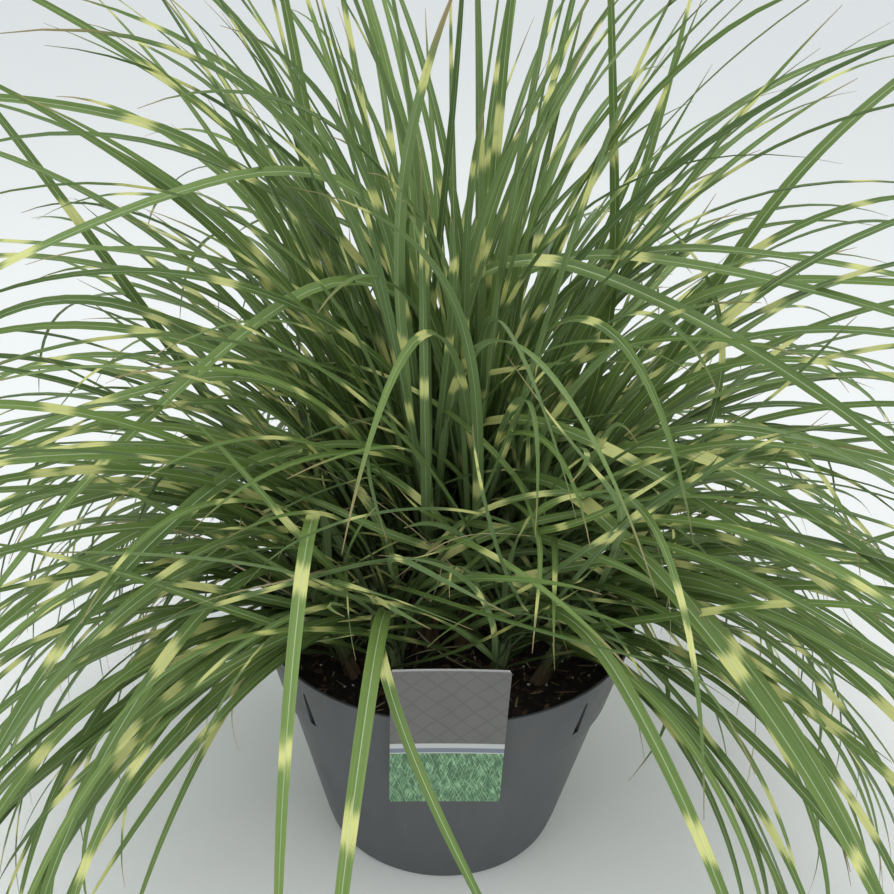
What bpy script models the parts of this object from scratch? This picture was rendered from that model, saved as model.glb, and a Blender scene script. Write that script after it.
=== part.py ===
"""Potted miscanthus clump: nursery pot, compost, hooked plant label and leafy shoots.

Metres, +Z up. The pot stands on z = 0 with its axis on the Z axis; its front, where the
label hangs, faces -Y. Each shoot is a culm standing in the compost and, above it, one
closed solid that holds the space of that shoot's leaves and reaches their tips.
"""
import math

import bmesh
import bpy
from mathutils import Vector

# Pot
POT_HEIGHT = 0.158
RIM_RADIUS = 0.120
BASE_RADIUS = 0.079
BAND_HEIGHT = 0.047          # plain band under the rim
BAND_FOOT_RADIUS = 0.1083    # outside of the band where it meets the ledge
LEDGE = 0.0029               # the band stands this far proud of the wall below
LEDGE_RISE = 0.0012
WALL = 0.0020
FLOOR = 0.0024
FOOT_CHAMFER = 0.0025
POT_SEGMENTS = 96
DRAIN_HOLES = 8
DRAIN_RADIUS = 0.006
DRAIN_CIRCLE = 0.056
DRAIN_TURN = math.radians(10.3)
SLOTS = 4                    # upright lifting slots through the band
SLOT_WIDTH = 0.0022
SLOT_LENGTH = 0.026
SLOT_BELOW_RIM = 0.012
SLOT_TOE_RADIUS = 0.0028     # the slot widens at its foot
GAP = 0.0003                 # clearance between touching pieces

# Compost
HEADSPACE = 0.022            # compost level below the rim
COMPOST_TOP = POT_HEIGHT - HEADSPACE
COMPOST_SEGMENTS = 48

# Label
LABEL_WIDTH = 0.064
LABEL_LENGTH = 0.110
LABEL_THICKNESS = 0.0007
LABEL_ABOVE_RIM = 0.044
LABEL_SHIFT = 0.0018         # label centre, to the right of the pot's front
LABEL_TILT = math.radians(9.7)
LABEL_TURN = math.radians(2.6)
LABEL_HOLE_RADIUS = 0.0028
LABEL_HOLE_BELOW_TOP = 0.006
HOOK_WIDTH = 0.016
HOOK_DROP = 0.017            # how far the hook reaches down inside the rim
HOOK_ABOVE_RIM = 0.0010
HOOK_SLACK = 0.0036          # the rim sits loosely in the hook, whose inside leans less

# Shoots: a ring of them for each layer of the tussock. The rings are open at the front,
# where the leaves part over the label, and one shoot hangs on each side of it.
# Ring radius, count, share of the circle that the ring takes, culm length, culm lean,
# leaf lean at the culm, leaf lean at the tip, how late the leaves bend, leaf length,
# layer thickness, share of its sector that each shoot's leaves fill
LAYERS = {
    "inner": (0.018, 5, 1.00, 0.095, 3.0, 4.0, 48.0, 1.50, 0.430, 0.020, 0.84),
    "middle": (0.045, 8, 0.80, 0.080, 12.0, 12.0, 146.0, 1.20, 0.480, 0.022, 0.84),
    "outer": (0.074, 10, 0.80, 0.055, 22.0, 28.0, 169.0, 0.75, 0.420, 0.018, 0.84),
    "front": (0.066, 2, 0.28, 0.055, 16.0, 16.0, 178.0, 0.55, 0.330, 0.012, 0.30),
}
BACK = 90.0                  # azimuth of the back, where the open rings are centred
FRONT = 270.0
CULM_SIDES = 8
CULM_FOOT_RADIUS = 0.0060
CULM_TOP_RADIUS = 0.0036
CULM_RINGS = 4
CULM_LEAF_GAP = 0.0006
SPRAY_STATIONS = 11
SPRAY_START_WIDTH = 0.009
SPRAY_WIDENING = 0.30        # width gained per metre of leaf from the culm
SPRAY_TIP_WIDTH = 0.0030
LENGTH_JITTER = 0.045
CURVE_STEPS = 400

GRAPHITE = (0.075, 0.080, 0.084, 1.0)
PEAT = (0.030, 0.020, 0.014, 1.0)
SLATE = (0.150, 0.150, 0.155, 1.0)
LEAF_GREEN = (0.095, 0.190, 0.055, 1.0)
CULM_GREEN = (0.150, 0.185, 0.070, 1.0)


def clear_scene():
    for item in list(bpy.data.objects):
        bpy.data.objects.remove(item, do_unlink=True)


def plastic_or_plant(name, colour, roughness):
    """A Principled material; nothing on this object is metal."""
    material = bpy.data.materials.new(name)
    material.use_nodes = True
    shader = material.node_tree.nodes["Principled BSDF"]
    shader.inputs["Base Color"].default_value = colour
    shader.inputs["Roughness"].default_value = roughness
    shader.inputs["Metallic"].default_value = 0.0
    material.diffuse_color = colour
    return material


def add_object(name, shape, material=None):
    """Turn a bmesh into a named object whose faces look outwards."""
    shape.normal_update()
    bmesh.ops.recalc_face_normals(shape, faces=shape.faces[:])
    mesh = bpy.data.meshes.new(name)
    shape.to_mesh(mesh)
    shape.free()
    item = bpy.data.objects.new(name, mesh)
    bpy.context.scene.collection.objects.link(item)
    if material is not None:
        mesh.materials.append(material)
    return item


def lathe(profile, segments):
    """Spin a profile of (radius, height) points, from axis to axis, into a closed solid."""
    shape = bmesh.new()
    points = [shape.verts.new((radius, 0.0, height)) for radius, height in profile]
    edges = [shape.edges.new(pair) for pair in zip(points, points[1:])]
    bmesh.ops.spin(
        shape,
        geom=points + edges,
        cent=(0.0, 0.0, 0.0),
        axis=(0.0, 0.0, 1.0),
        angle=math.tau,
        steps=segments,
        use_merge=True,
    )
    bmesh.ops.remove_doubles(shape, verts=shape.verts[:], dist=1e-6)
    return shape


def cut(item, cutter):
    """Subtract a cutter, which stays in the file as a hidden wire shape."""
    cutter.hide_render = True
    cutter.display_type = "WIRE"
    boolean = item.modifiers.new("cut by " + cutter.name, "BOOLEAN")
    boolean.operation = "DIFFERENCE"
    boolean.solver = "EXACT"
    boolean.object = cutter


def wall_radius(height):
    """Outside radius of the pot at a height."""
    band_foot = POT_HEIGHT - BAND_HEIGHT
    if height >= band_foot:
        share = (height - band_foot) / BAND_HEIGHT
        return BAND_FOOT_RADIUS + (RIM_RADIUS - BAND_FOOT_RADIUS) * share
    share = height / band_foot
    return BASE_RADIUS + (BAND_FOOT_RADIUS - LEDGE - BASE_RADIUS) * share


def pot_profile():
    """Section of the pot: under the floor, up the outside, over the rim, down the inside."""
    band_foot = POT_HEIGHT - BAND_HEIGHT
    under_band = BAND_FOOT_RADIUS - LEDGE
    lip = WALL * 0.3
    outside = [
        (0.0, 0.0),
        (BASE_RADIUS - FOOT_CHAMFER, 0.0),
        (wall_radius(FOOT_CHAMFER), FOOT_CHAMFER),
        (under_band, band_foot - LEDGE_RISE),
        (BAND_FOOT_RADIUS - lip, band_foot - LEDGE_RISE * 0.3),
        (BAND_FOOT_RADIUS, band_foot + lip),
        (RIM_RADIUS, POT_HEIGHT - lip),
        (RIM_RADIUS - lip, POT_HEIGHT),
    ]
    inside = [
        (RIM_RADIUS - WALL + lip, POT_HEIGHT),
        (RIM_RADIUS - WALL, POT_HEIGHT - lip),
        (BAND_FOOT_RADIUS - WALL, band_foot + WALL),
        (under_band - WALL, band_foot - LEDGE_RISE - WALL * 0.5),
        (wall_radius(FLOOR + FOOT_CHAMFER) - WALL, FLOOR + FOOT_CHAMFER),
        (wall_radius(FLOOR) - WALL - FOOT_CHAMFER, FLOOR),
        (0.0, FLOOR),
    ]
    return outside + inside


def drain_hole_cutter():
    """Eight upright cylinders in a ring, through the floor of the pot."""
    shape = bmesh.new()
    for hole in range(DRAIN_HOLES):
        angle = math.tau * hole / DRAIN_HOLES + DRAIN_TURN
        drill = bmesh.ops.create_cone(
            shape,
            cap_ends=True,
            segments=16,
            radius1=DRAIN_RADIUS,
            radius2=DRAIN_RADIUS,
            depth=0.012,
        )
        centre = Vector((math.cos(angle), math.sin(angle), 0.0)) * DRAIN_CIRCLE
        bmesh.ops.translate(shape, verts=drill["verts"], vec=centre)
    return add_object("drain_hole_cutter", shape)


def slot_cutter():
    """Four narrow wedges, wider at the foot, through the band of the pot."""
    shape = bmesh.new()
    high = POT_HEIGHT - SLOT_BELOW_RIM
    low = high - SLOT_LENGTH
    outline = [
        (-SLOT_WIDTH / 2, high),
        (-SLOT_TOE_RADIUS, low),
        (SLOT_TOE_RADIUS, low),
        (SLOT_WIDTH / 2, high),
    ]
    for slot in range(SLOTS):
        angle = math.tau * (slot + 0.5) / SLOTS
        outward = Vector((math.cos(angle), math.sin(angle), 0.0))
        sideways = Vector((-outward.y, outward.x, 0.0))
        rings = []
        for reach in (RIM_RADIUS - 0.022, RIM_RADIUS + 0.006):
            corners = [outward * reach + sideways * x + Vector((0, 0, z)) for x, z in outline]
            rings.append([shape.verts.new(corner) for corner in corners])
        skin(shape, rings)
    return add_object("slot_cutter", shape)


def skin(shape, rings):
    """Join rings of equal size with quads and close both ends."""
    count = len(rings[0])
    for lower, upper in zip(rings, rings[1:]):
        for side in range(count):
            after = (side + 1) % count
            shape.faces.new((lower[side], lower[after], upper[after], upper[side]))
    shape.faces.new(rings[0])
    shape.faces.new(rings[-1])


def build_pot():
    plastic = plastic_or_plant("pot_plastic", GRAPHITE, 0.48)
    pot = add_object("nursery_pot", lathe(pot_profile(), POT_SEGMENTS), plastic)
    cut(pot, drain_hole_cutter())
    cut(pot, slot_cutter())
    return pot


def build_compost():
    """The root ball: peat that fills the pot to a little below its rim."""
    peat = plastic_or_plant("peat", PEAT, 0.95)
    clear = WALL + GAP + 0.0002
    band_foot = POT_HEIGHT - BAND_HEIGHT
    foot = FLOOR + FOOT_CHAMFER
    profile = [
        (0.0, FLOOR + GAP),
        (wall_radius(FLOOR) - clear - FOOT_CHAMFER, FLOOR + GAP),
        (wall_radius(foot) - clear - 0.0006, foot),
        (wall_radius(band_foot - 0.001) - clear, band_foot - 0.0035),
        (wall_radius(COMPOST_TOP) - clear - 0.0016, COMPOST_TOP - 0.003),
        (wall_radius(COMPOST_TOP) - clear - 0.0050, COMPOST_TOP),
        (0.0, COMPOST_TOP),
    ]
    return add_object("compost", lathe(profile, COMPOST_SEGMENTS), peat)


def build_label():
    """A flat card with a folded hook: the hook goes over the rim and down inside it."""
    card = plastic_or_plant("label_card", SLATE, 0.40)
    rim_level = LABEL_LENGTH - LABEL_ABOVE_RIM / math.cos(LABEL_TILT)
    back = LABEL_THICKNESS
    hook_top = rim_level + HOOK_ABOVE_RIM + LABEL_THICKNESS
    inner_face = back + WALL + HOOK_SLACK
    shape = bmesh.new()
    # Side section of the card and hook, in (depth towards the pot, height up the card).
    # The card is three strips wide, and only the middle strip carries the hook.
    half_card = LABEL_WIDTH / 2
    half_hook = HOOK_WIDTH / 2
    plain = [(0.0, 0.0), (back, 0.0), (back, LABEL_LENGTH), (0.0, LABEL_LENGTH)]
    hooked = [
        (0.0, 0.0),
        (back, 0.0),
        (back, hook_top - LABEL_THICKNESS),
        (inner_face, hook_top - LABEL_THICKNESS),
        (inner_face, rim_level - HOOK_DROP),
        (inner_face + LABEL_THICKNESS, rim_level - HOOK_DROP),
        (inner_face + LABEL_THICKNESS, hook_top),
        (back, hook_top),
        (back, LABEL_LENGTH),
        (0.0, LABEL_LENGTH),
    ]
    plain = plain[:2] + [(back, hook_top - LABEL_THICKNESS), (back, hook_top)] + plain[2:]
    on_card = [0, 1, 2, 7, 8, 9]
    stations = [
        [shape.verts.new((x, depth, height)) for depth, height in section]
        for x, section in (
            (-half_card, plain),
            (-half_hook, hooked),
            (half_hook, hooked),
            (half_card, plain),
        )
    ]
    left, hook_left, hook_right, right = stations
    for outer, inner in ((left, hook_left), (hook_right, right)):
        edge = outer if len(outer) == 6 else [outer[i] for i in on_card]
        mate = inner if len(inner) == 6 else [inner[i] for i in on_card]
        for side in range(6):
            after = (side + 1) % 6
            shape.faces.new((edge[side], edge[after], mate[after], mate[side]))
    for side in range(10):
        after = (side + 1) % 10
        corners = (hook_left[side], hook_left[after], hook_right[after], hook_right[side])
        shape.faces.new(corners)
    shape.faces.new(left)
    shape.faces.new(right)
    for ring in (hook_left, hook_right):
        shape.faces.new(ring[2:8])
    bmesh.ops.translate(shape, verts=shape.verts[:], vec=(0.0, 0.0, -rim_level))
    label = add_object("plant_label", shape, card)
    punch = label_punch(LABEL_LENGTH - rim_level - LABEL_HOLE_BELOW_TOP)
    cut(label, punch)
    for item in (label, punch):
        item.location = (LABEL_SHIFT, -RIM_RADIUS - GAP - LABEL_THICKNESS * 1.1, POT_HEIGHT)
        item.rotation_euler = (LABEL_TILT, 0.0, LABEL_TURN)
    return label


def label_punch(height):
    """The round punch for the hole under the label's top edge."""
    shape = bmesh.new()
    bmesh.ops.create_cone(
        shape,
        cap_ends=True,
        segments=16,
        radius1=LABEL_HOLE_RADIUS,
        radius2=LABEL_HOLE_RADIUS,
        depth=0.01,
    )
    for vert in shape.verts:
        vert.co = Vector((vert.co.x, vert.co.z, vert.co.y + height))
    return add_object("label_punch", shape)


def jitter(seed):
    """A repeatable value in -1..1 for a whole number."""
    return math.modf(math.sin(seed * 12.9898 + 4.1) * 43758.5453)[0]


def lean_at(share, lean, tip_lean, lateness):
    return lean + (tip_lean - lean) * share ** lateness


def leaf_path(start, lean, tip_lean, lateness, length):
    """Points (radius, height, lean) along an arching leaf, by summing short steps."""
    radius, height = start
    stations = [(radius, height, lean)]
    step = length / CURVE_STEPS
    every = CURVE_STEPS // (SPRAY_STATIONS - 1)
    for count in range(1, CURVE_STEPS + 1):
        angle = math.radians(lean_at((count - 0.5) / CURVE_STEPS, lean, tip_lean, lateness))
        radius += step * math.sin(angle)
        height += step * math.cos(angle)
        if count % every == 0:
            stations.append((radius, height, math.degrees(angle)))
    return stations


def build_culm(name, azimuth, ring_radius, length, lean, material):
    """One upright stem, wrapped in its leaf sheaths, standing on the compost."""
    outward = Vector((math.cos(azimuth), math.sin(azimuth), 0.0))
    foot = outward * ring_radius + Vector((0.0, 0.0, COMPOST_TOP + GAP))
    slope = math.tan(math.radians(lean))
    shape = bmesh.new()
    rings = []
    for ring in range(CULM_RINGS):
        share = ring / (CULM_RINGS - 1)
        rise = length * math.cos(math.radians(lean)) * share
        centre = foot + outward * rise * slope * share + Vector((0.0, 0.0, rise))
        radius = CULM_FOOT_RADIUS + (CULM_TOP_RADIUS - CULM_FOOT_RADIUS) * share ** 0.7
        corners = []
        for side in range(CULM_SIDES):
            turn = math.tau * side / CULM_SIDES
            spoke = Vector((math.cos(turn), math.sin(turn), 0.0))
            corners.append(shape.verts.new(centre + spoke * radius))
        rings.append(corners)
    skin(shape, rings)
    add_object(name, shape, material)
    return math.hypot(centre.x, centre.y), centre.z


def build_spray(name, azimuth, spread, path, thickness, material):
    """The space of one shoot's leaves: a lens section that arches out and ends in a tip.

    spread is the widest it may be for each metre from the pot's axis.
    """
    outward = Vector((math.cos(azimuth), math.sin(azimuth), 0.0))
    sideways = Vector((-outward.y, outward.x, 0.0))
    shape = bmesh.new()
    rings = []
    travelled = 0.0
    last = None
    for index, (radius, height, lean) in enumerate(path):
        if last is not None:
            travelled += math.hypot(radius - last[0], height - last[1])
        last = (radius, height)
        share = index / (len(path) - 1)
        taper = math.sqrt(max(0.0, 1.0 - share ** 2.2))
        width = min(spread * radius, SPRAY_START_WIDTH + SPRAY_WIDENING * travelled)
        width = SPRAY_TIP_WIDTH + (width - SPRAY_TIP_WIDTH) * taper
        depth = max(thickness * min(1.0, 0.25 + travelled / 0.10) * taper, SPRAY_TIP_WIDTH * 0.5)
        angle = math.radians(lean)
        across = outward * math.cos(angle) - Vector((0.0, 0.0, math.sin(angle)))
        centre = outward * radius + Vector((0.0, 0.0, height))
        lens = [(0.5, 0.0), (0.25, 0.5), (-0.25, 0.5), (-0.5, 0.0), (-0.25, -0.5), (0.25, -0.5)]
        rings.append([
            shape.verts.new(centre + sideways * width * u + across * depth * v) for u, v in lens
        ])
    skin(shape, rings)
    return add_object(name, shape, material)


def build_shoots():
    green = plastic_or_plant("leaf_blade", LEAF_GREEN, 0.55)
    sheath = plastic_or_plant("culm_sheath", CULM_GREEN, 0.60)
    seed = 0
    for layer, values in LAYERS.items():
        ring, count, share, culm_length, culm_lean = values[:5]
        lean, tip_lean, lateness, length, thickness, fill = values[5:]
        step = 360.0 * share / count
        middle = FRONT if layer == "front" else BACK
        spread = 2.0 * math.tan(math.radians(step / 2.0)) * fill
        for shoot in range(count):
            seed += 1
            azimuth = math.radians(middle + (shoot - (count - 1) / 2.0) * step)
            number = "{}_{:02d}".format(layer, shoot + 1)
            top = build_culm("culm_" + number, azimuth, ring, culm_length, culm_lean, sheath)
            own_length = length * (1.0 + LENGTH_JITTER * jitter(seed))
            start = (top[0], top[1] + CULM_LEAF_GAP + 0.5 * CULM_TOP_RADIUS)
            path = leaf_path(start, lean, tip_lean, lateness, own_length)
            build_spray("leaves_" + number, azimuth, spread, path, thickness, green)


clear_scene()
build_pot()
build_compost()
build_label()
build_shoots()
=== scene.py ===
"""Looks of a potted miscanthus clump: pot, compost, hooked label, stems and arching blades.

Metres, +Z up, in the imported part's own frame: the pot stands on z = 0 with its axis on the
Z axis, and its front, where the label hangs, faces -Y.
"""
import math
import random

import bmesh
import bpy
import numpy as np
from mathutils import Matrix, Vector, noise


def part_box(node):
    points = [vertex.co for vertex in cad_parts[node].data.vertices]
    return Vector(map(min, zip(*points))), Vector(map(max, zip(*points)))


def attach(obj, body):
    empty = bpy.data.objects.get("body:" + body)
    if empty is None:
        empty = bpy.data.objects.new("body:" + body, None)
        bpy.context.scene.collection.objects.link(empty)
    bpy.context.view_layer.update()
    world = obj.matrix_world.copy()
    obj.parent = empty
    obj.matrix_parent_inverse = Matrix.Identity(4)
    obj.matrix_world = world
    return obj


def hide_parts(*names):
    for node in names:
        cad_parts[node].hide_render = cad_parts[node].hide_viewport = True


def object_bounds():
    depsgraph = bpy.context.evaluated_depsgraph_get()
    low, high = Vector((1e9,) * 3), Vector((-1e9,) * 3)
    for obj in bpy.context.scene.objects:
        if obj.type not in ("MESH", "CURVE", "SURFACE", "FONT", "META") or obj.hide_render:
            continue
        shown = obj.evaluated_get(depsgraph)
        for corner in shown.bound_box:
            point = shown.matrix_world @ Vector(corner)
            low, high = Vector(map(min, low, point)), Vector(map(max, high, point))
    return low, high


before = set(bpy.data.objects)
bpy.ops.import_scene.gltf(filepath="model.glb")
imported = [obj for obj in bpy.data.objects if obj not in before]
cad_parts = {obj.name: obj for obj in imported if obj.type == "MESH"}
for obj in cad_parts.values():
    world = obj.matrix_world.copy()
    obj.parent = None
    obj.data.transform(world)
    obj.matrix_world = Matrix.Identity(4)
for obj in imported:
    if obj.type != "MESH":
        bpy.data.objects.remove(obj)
cad_low, cad_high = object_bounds()
scene = bpy.context.scene


# ---------------------------------------------------------------------------------------
# Studio. A plain pale floor that runs on to the horizon, soft daylight all round, a soft
# light from above and two weaker ones in front, seen from just in front of the pot.

EYE = Vector((-0.004, -0.599, 0.555))
EYE_PITCH = 25.5             # degrees below the horizon
EYE_ROLL = 1.9
FLOOR_COLOUR = (0.92, 0.93, 0.905, 1.0)
FLOOR_SIZE = 60.0


class Wire:
    """An output socket in a finish's node tree. Sums of wires add Math nodes."""

    def __init__(self, tree, socket=None):
        self.tree = tree
        self.socket = socket

    def node(self, kind, settings=None, inputs=None, out=0):
        """Any node: its settings first, then the values or wires of its sockets."""
        made = self.tree.nodes.new("ShaderNode" + kind)
        for name, value in (settings or {}).items():
            if name == "stops":
                fill_ramp(made.color_ramp, value)
            else:
                setattr(made, name, value)
        for key, value in (inputs or {}).items():
            if isinstance(value, Wire):
                self.tree.links.new(value.socket, made.inputs[key])
            else:
                made.inputs[key].default_value = value
        return Wire(self.tree, made.outputs[out])

    def sum_of(self, operation, *values):
        return self.node("Math", {"operation": operation}, dict(enumerate(values)))

    def __add__(self, other):
        return self.sum_of("ADD", self, other)

    def __sub__(self, other):
        return self.sum_of("SUBTRACT", self, other)

    def __rsub__(self, other):
        return self.sum_of("SUBTRACT", other, self)

    def __mul__(self, other):
        return self.sum_of("MULTIPLY", self, other)

    def __abs__(self):
        return self.sum_of("ABSOLUTE", self)

    def __or__(self, other):
        """The greater of two masks."""
        return self.sum_of("MAXIMUM", self, other)

    __radd__ = __add__
    __rmul__ = __mul__

    def ramp(self, low, high, start=0.0, end=1.0):
        """Goes smoothly from start to end while this value goes from low to high."""
        values = {"Value": self, 1: low, 2: high, 3: start, 4: end}
        return self.node("MapRange", {"interpolation_type": "SMOOTHSTEP"}, values)

    def mix(self, first, second):
        """The first colour where this mask is 0, and the second where it is 1."""
        settings = {"data_type": "RGBA", "clamp_factor": True}
        return self.node("Mix", settings, {0: self, 6: first, 7: second}, 2)

    def shade(self, colour, amount):
        """A colour brightened or darkened by this value, which is 0.5 where it stays."""
        scaled = (self - 0.5) * amount + 1.0
        grey = self.node("CombineXYZ", None, {0: scaled, 1: scaled, 2: scaled})
        settings = {"data_type": "RGBA", "blend_type": "MULTIPLY"}
        return self.node("Mix", settings, {0: 1.0, 6: colour, 7: grey}, 2)

    def noise(self, scale, detail=3.0, roughness=0.5, stretch=None):
        """Noise over this vector, finer across than along where it is stretched."""
        place = self
        if stretch:
            place = self.node("VectorMath", {"operation": "MULTIPLY"}, {0: self, 1: stretch})
        values = {"Vector": place, "Scale": scale, "Detail": detail, "Roughness": roughness}
        return self.node("TexNoise", None, values)

    def attribute(self, name, out="Fac"):
        return self.node("Attribute", {"attribute_name": name}, None, out)


def fill_ramp(ramp, stops):
    while len(ramp.elements) < len(stops):
        ramp.elements.new(1.0)
    for element, (place, colour) in zip(ramp.elements, stops):
        element.position = place
        element.color = colour


def finish(name):
    """A new material with a Principled surface, and a wire to start its nodes from."""
    material = bpy.data.materials.new(name)
    material.use_nodes = True
    return material, Wire(material.node_tree)


def set_surface(material, colour, roughness, bump=None, height=0.001, **constants):
    """Connect a finish's colour, roughness and bump, and set its fixed values."""
    wire = Wire(material.node_tree)
    surface = material.node_tree.nodes["Principled BSDF"]
    driven = {"Base Color": colour, "Roughness": roughness}
    if bump is not None:
        values = {"Strength": 1.0, "Distance": height, "Height": bump}
        driven["Normal"] = wire.node("Bump", None, values)
    for key, value in driven.items():
        if isinstance(value, Wire):
            material.node_tree.links.new(value.socket, surface.inputs[key])
        else:
            surface.inputs[key].default_value = value
    for key, value in constants.items():
        surface.inputs[key.replace("_", " ")].default_value = value


def stand(name, mesh, *materials):
    """A mesh as an object of the scene, with its materials."""
    item = bpy.data.objects.new(name, mesh)
    scene.collection.objects.link(item)
    for material in materials:
        mesh.materials.append(material)
    return item


def build_floor():
    shape = bmesh.new()
    bmesh.ops.create_grid(shape, x_segments=1, y_segments=1, size=FLOOR_SIZE / 2)
    mesh = bpy.data.meshes.new("studio_floor")
    shape.to_mesh(mesh)
    shape.free()
    material = finish("studio_paint")[0]
    set_surface(material, FLOOR_COLOUR, 0.75)
    floor = stand("studio_floor", mesh, material)
    floor.location.z = -0.0002
    return floor


def soft_light(name, place, size, power, colour):
    light = bpy.data.lights.new(name, "AREA")
    light.shape = "DISK"
    light.size = size
    light.energy = power
    light.color = colour
    item = bpy.data.objects.new(name, light)
    item.location = place
    aim = Vector((0.0, 0.0, 0.25)) - Vector(place)
    item.rotation_euler = aim.to_track_quat("-Z", "Y").to_euler()
    scene.collection.objects.link(item)


build_floor()
soft_light("overhead", (-0.2, -0.3, 2.4), 2.0, 16.0, (1.0, 0.99, 0.97))
soft_light("left_window", (-1.9, -1.2, 1.2), 1.6, 7.0, (0.95, 0.98, 1.0))
soft_light("right_lamp", (1.9, -1.2, 1.0), 1.4, 7.0, (1.0, 0.97, 0.92))

world = bpy.data.worlds.new("soft_daylight")
world.use_nodes = True
world.node_tree.nodes["Background"].inputs["Color"].default_value = (0.92, 0.96, 1.0, 1.0)
world.node_tree.nodes["Background"].inputs["Strength"].default_value = 0.84
scene.world = world
scene.view_settings.view_transform = "Standard"

lens = bpy.data.cameras.new("eye")
lens.lens = 44.3
lens.sensor_width = 36.0
camera = bpy.data.objects.new("eye", lens)
camera.matrix_world = (
    Matrix.Translation(EYE)
    @ Matrix.Rotation(math.radians(90.0 - EYE_PITCH), 4, "X")
    @ Matrix.Rotation(math.radians(EYE_ROLL), 4, "Z")
)
scene.collection.objects.link(camera)
scene.camera = camera


# ---------------------------------------------------------------------------------------
# Nursery pot. One injection-moulded tapered pot in matt charcoal polypropylene, with a
# plain band under the rim, a small ledge below it, four upright lifting slots through the
# band and eight drain holes in the floor.

pot_low, pot_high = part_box("nursery_pot")
POT_HEIGHT = pot_high.z
RIM_RADIUS = pot_high.x
BASE_RADIUS = 0.079
BAND_FOOT = POT_HEIGHT - 0.047
BAND_FOOT_RADIUS = 0.1083
LEDGE = 0.0029
POT_WALL = 0.0020
POT_FLOOR = 0.0024
SLOTS = 4
SLOT_BELOW_RIM = 0.012
SLOT_LENGTH = 0.026
SLOT_TOP_HALF = 0.0011       # half the slot's width at its rounded top, and at its foot
SLOT_FOOT_HALF = 0.0028
DRAIN_HOLES = 8
DRAIN_RADIUS = 0.006
DRAIN_CIRCLE = 0.056         # radius of the circle the drain holes lie on


def pot_wall(height):
    """Outside radius of the pot at a height."""
    if height >= BAND_FOOT:
        share = (height - BAND_FOOT) / (POT_HEIGHT - BAND_FOOT)
        return BAND_FOOT_RADIUS + (RIM_RADIUS - BAND_FOOT_RADIUS) * share
    return BASE_RADIUS + (BAND_FOOT_RADIUS - LEDGE - BASE_RADIUS) * height / BAND_FOOT


def rounded(corners, steps=4):
    """An outline of (x, y) points from corners of (x, y, radius), with arcs where it has one."""
    points = []
    for index, (x, y, radius) in enumerate(corners):
        here = Vector((x, y))
        if radius == 0.0 or index in (0, len(corners) - 1):
            points.append((x, y))
            continue
        before = (Vector(corners[index - 1][:2]) - here).normalized()
        after = (Vector(corners[index + 1][:2]) - here).normalized()
        half = before.angle(after) / 2
        reach = radius / math.tan(half)
        first, last = here + before * reach, here + after * reach
        for step in range(steps + 1):
            share = step / steps
            bend = first * (1 - share) ** 2 + here * 2 * share * (1 - share) + last * share ** 2
            points.append((bend.x, bend.y))
    return points


def face_outward(shape):
    """Turn every face of a closed bmesh to the outside."""
    shape.normal_update()
    bmesh.ops.recalc_face_normals(shape, faces=shape.faces[:])


def lathe(profile, segments):
    """Spin an outline of (radius, height) points, from axis to axis, into a closed solid."""
    shape = bmesh.new()
    points = [shape.verts.new((radius, 0.0, height)) for radius, height in profile]
    edges = [shape.edges.new(pair) for pair in zip(points, points[1:])]
    bmesh.ops.spin(
        shape,
        geom=points + edges,
        cent=(0.0, 0.0, 0.0),
        axis=(0.0, 0.0, 1.0),
        angle=math.tau,
        steps=segments,
        use_merge=True,
    )
    bmesh.ops.remove_doubles(shape, verts=shape.verts[:], dist=1e-6)
    face_outward(shape)
    return shape


def settle_mesh(item, shape):
    """Put a bmesh into an object's mesh."""
    shape.to_mesh(item.data)
    shape.free()
    return item


def cut_away(item, cutters, smooth_angle=32.0):
    """Subtract the cutters, drop them, and shade what is left smooth between its edges."""
    for cutter in cutters:
        boolean = item.modifiers.new(cutter.name, "BOOLEAN")
        boolean.operation = "DIFFERENCE"
        boolean.solver = "EXACT"
        boolean.object = cutter
    bpy.context.view_layer.update()
    ready = item.evaluated_get(bpy.context.evaluated_depsgraph_get())
    mesh = bpy.data.meshes.new_from_object(ready)
    item.modifiers.clear()
    item.data = mesh
    for cutter in cutters:
        bpy.data.objects.remove(cutter, do_unlink=True)
    mesh.shade_smooth()
    mesh.set_sharp_from_angle(angle=math.radians(smooth_angle))
    return item


def empty_piece(name, *materials):
    return stand(name, bpy.data.meshes.new(name), *materials)


def slot_cutter(segments=6):
    """Four narrow wedges with round ends, wider at the foot."""
    shape = bmesh.new()
    high = POT_HEIGHT - SLOT_BELOW_RIM
    low = high - SLOT_LENGTH
    shoulder = high - 0.0008
    outline = [(-SLOT_TOP_HALF, shoulder)]
    for step in range(1, segments):
        turn = math.pi * step / segments
        across = -SLOT_TOP_HALF * math.cos(turn)
        outline.append((across, shoulder + SLOT_TOP_HALF * math.sin(turn)))
    outline += [(SLOT_TOP_HALF, shoulder), (SLOT_FOOT_HALF, low), (-SLOT_FOOT_HALF, low)]
    for slot in range(SLOTS):
        angle = math.tau * (slot + 0.5) / SLOTS
        outward = Vector((math.cos(angle), math.sin(angle), 0.0))
        sideways = Vector((-outward.y, outward.x, 0.0))
        ends = []
        for reach in (RIM_RADIUS - 0.022, RIM_RADIUS + 0.006):
            ends.append([
                shape.verts.new(outward * reach + sideways * x + Vector((0, 0, z)))
                for x, z in outline
            ])
        count = len(outline)
        for side in range(count):
            after = (side + 1) % count
            shape.faces.new((ends[0][side], ends[0][after], ends[1][after], ends[1][side]))
        shape.faces.new(ends[0])
        shape.faces.new(ends[1])
    face_outward(shape)
    return settle_mesh(empty_piece("slot_cutter"), shape)


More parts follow.
